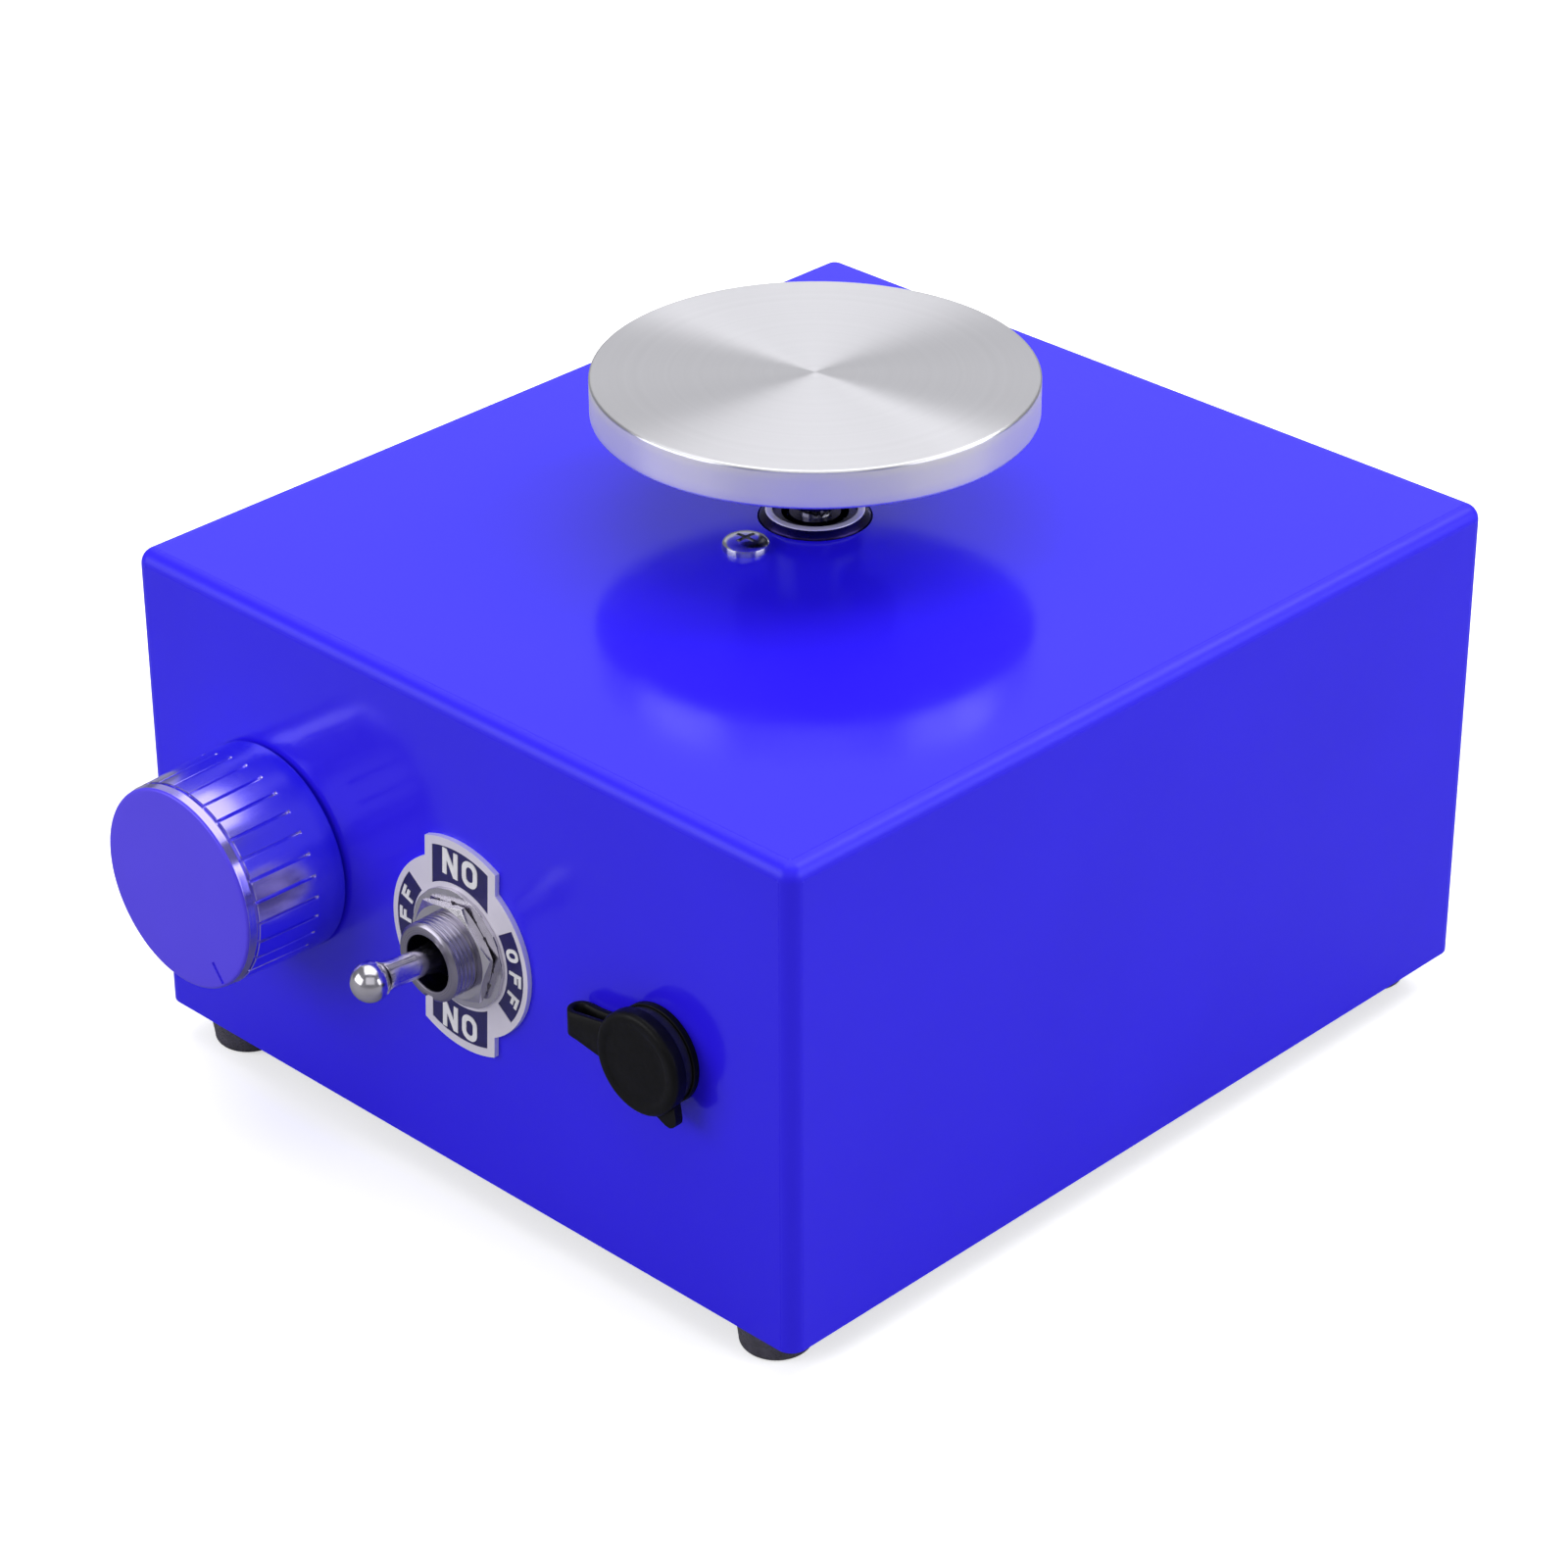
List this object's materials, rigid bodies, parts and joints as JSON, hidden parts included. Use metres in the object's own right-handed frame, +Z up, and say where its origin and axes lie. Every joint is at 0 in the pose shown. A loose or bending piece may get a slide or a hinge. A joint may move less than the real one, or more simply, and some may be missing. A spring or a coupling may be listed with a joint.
{
  "type": "miniature pottery wheel",
  "caption": "Miniature electric pottery wheel: blue case on rubber feet, aluminium turntable, fluted speed knob, three-position toggle switch and capped power socket.",
  "frame": {"origin": "on the ground, under the centre of the whole object's bounding box", "axes": "+Z up along the turntable's axis direction, -Y out of the front panel with its knob, switch and socket, +X to the right as seen from the front"},
  "size_m": [0.133, 0.1677, 0.1063],
  "materials": {
    "blue_powder_coat": "gloss",
    "dark_powder_coat": "satin",
    "plated_steel": "satin",
    "foot_rubber": "matte",
    "cap_rubber": "satin",
    "black_plastic": "matte",
    "magnet_ferrite": "matte",
    "bearing_steel": "polished",
    "brass": "satin",
    "nickel_chrome": "polished",
    "printed_plate": "satin",
    "board_green": "satin",
    "wire_red": "gloss",
    "wire_black": "gloss",
    "brushed_aluminium": "brushed",
    "black_oxide_steel": "matte",
    "core_steel": "matte",
    "enamelled_copper": "gloss",
    "anodised_aluminium": "satin",
    "white_plastic": "matte"
  },
  "bodies": {
    "case": {"case_shell": "blue_powder_coat", "base_plate": "dark_powder_coat", "base_screws": "plated_steel", "foot_front_left": "foot_rubber", "foot_front_right": "foot_rubber", "foot_rear_left": "foot_rubber", "foot_rear_right": "foot_rubber", "foot_screws": "plated_steel", "foot_nuts": "plated_steel", "motor_can": "plated_steel", "motor_end_cap": "black_plastic", "motor_magnets": "magnet_ferrite", "bearing_outer_ring": "bearing_steel", "bearing_balls": "bearing_steel", "rear_bushing": "brass", "motor_brushes": "magnet_ferrite", "motor_terminals": "brass", "motor_screws": "plated_steel", "pot_body": "plated_steel", "pot_bushing": "plated_steel", "pot_nut": "plated_steel", "pot_washer": "plated_steel", "pot_terminals": "plated_steel", "legend_plate": "printed_plate", "toggle_bushing": "nickel_chrome", "toggle_pivot_pin": "bearing_steel", "toggle_nut": "nickel_chrome", "toggle_lock_washer": "nickel_chrome", "toggle_back_nut": "plated_steel", "toggle_body": "black_plastic", "toggle_frame": "plated_steel", "toggle_terminals": "brass", "jack_body": "black_plastic", "jack_pin": "bearing_steel", "jack_nut": "plated_steel", "jack_terminals": "plated_steel", "cap_tether": "cap_rubber", "circuit_board": "board_green", "board_standoffs": "plated_steel", "board_parts": "black_plastic", "wires_red": "wire_red", "wires_black": "wire_black"},
    "spindle": {"turntable": "brushed_aluminium", "turntable_hub": "black_oxide_steel", "hub_screws": "black_oxide_steel", "hub_set_screw": "black_oxide_steel", "motor_shaft": "bearing_steel", "armature_core": "core_steel", "armature_windings": "enamelled_copper", "commutator": "brass", "bearing_inner_ring": "bearing_steel"},
    "speed_knob": {"knob_shell": "anodised_aluminium", "knob_insert": "brass", "knob_set_screw": "black_oxide_steel", "pot_shaft": "bearing_steel", "pot_wiper": "brass"},
    "toggle_lever": {"toggle_lever": "nickel_chrome"},
    "toggle_rocker": {"toggle_rockers": "brass", "toggle_saddle": "white_plastic"},
    "dust_cap": {"dust_cap": "cap_rubber"}
  },
  "joints": [
    {"name": "turntable_spin", "type": "hinge", "parent": "case", "child": "spindle", "pos_m": [-0.0023, 0.01257, 0.1003], "axis": [0, 0, 1], "continuous": true},
    {"name": "knob_turn", "type": "hinge", "parent": "case", "child": "speed_knob", "pos_m": [-0.0382, -0.06358, 0.045], "axis": [0, -1, 0], "range_deg": [-7, 293]},
    {"name": "toggle_tilt", "type": "hinge", "parent": "case", "child": "toggle_lever", "pos_m": [0.0025, -0.06507, 0.045], "axis": [1, 0, 0], "range_deg": [-6.5, 18.5]},
    {"name": "rocker_tilt", "type": "hinge", "parent": "case", "child": "toggle_rocker", "pos_m": [0.0025, -0.04868, 0.045], "axis": [1, 0, 0], "range_deg": [-15.3, 5.7]},
    {"name": "cap_swing", "type": "hinge", "parent": "case", "child": "dust_cap", "pos_m": [0.0285, -0.06567, 0.045], "axis": [0, 0, -1], "range_deg": [0, 100]}
  ],
  "couplings": [
    {"joint": "rocker_tilt", "follows": "toggle_tilt", "ratio": -0.8}
  ]
}
